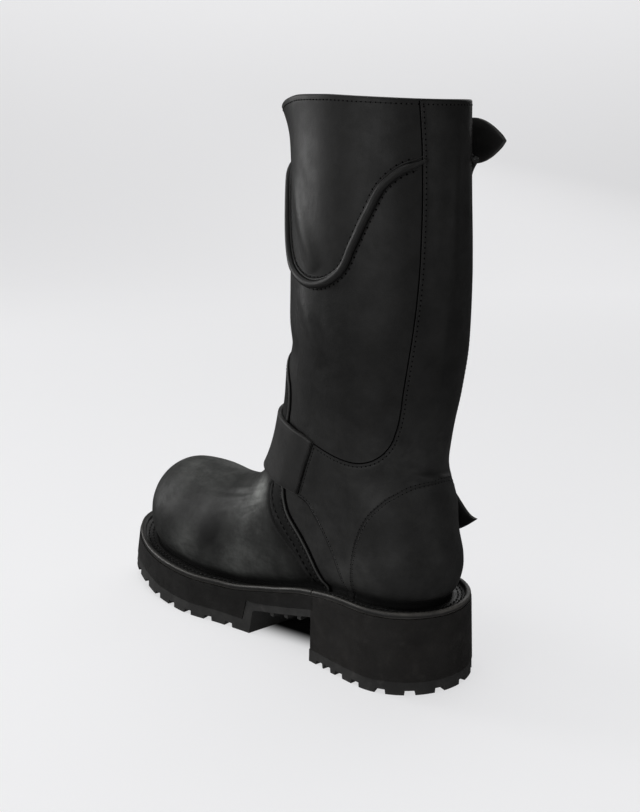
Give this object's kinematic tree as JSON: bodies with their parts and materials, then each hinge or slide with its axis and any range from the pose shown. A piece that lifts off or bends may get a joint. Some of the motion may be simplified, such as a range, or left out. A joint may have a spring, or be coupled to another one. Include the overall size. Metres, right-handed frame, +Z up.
{
  "type": "tall pull-on boot",
  "caption": "Tall black leather pull-on boot for the right foot, bulbous toe, wavy piped shaft, ankle and top straps, on a welted platform sole with lugged tread and block heel.",
  "frame": {"origin": "middle of the boot's bounding box, on the ground", "axes": "+Z up, toe towards -Y, heel towards +Y, inner (medial) side of the right foot towards +X"},
  "size_m": [0.1125, 0.3052, 0.3445],
  "materials": {
    "upper_leather": "waxed black full-grain leather, rubbed grey on toe and vamp",
    "strap_leather": "waxed black leather with cut edges",
    "welt_leather": "black stitched welt with a polished edge",
    "insole_leather": "plain brown insole leather",
    "midsole_rubber": "smooth black rubber",
    "tread_rubber": "matt dark grey tread rubber",
    "buckle_steel": "brushed steel wire"
  },
  "bodies": {
    "root": {"outsole_tread": "tread_rubber", "midsole": "midsole_rubber", "heel_block": "midsole_rubber", "heel_toplift": "tread_rubber", "welt": "welt_leather", "insole": "insole_leather", "upper": "upper_leather", "shaft_piping": "upper_leather", "ankle_strap": "strap_leather", "ankle_buckle": "buckle_steel", "ankle_prong": "buckle_steel", "top_strap": "strap_leather", "top_buckle": "buckle_steel", "top_prong": "buckle_steel"}
  },
  "joints": []
}
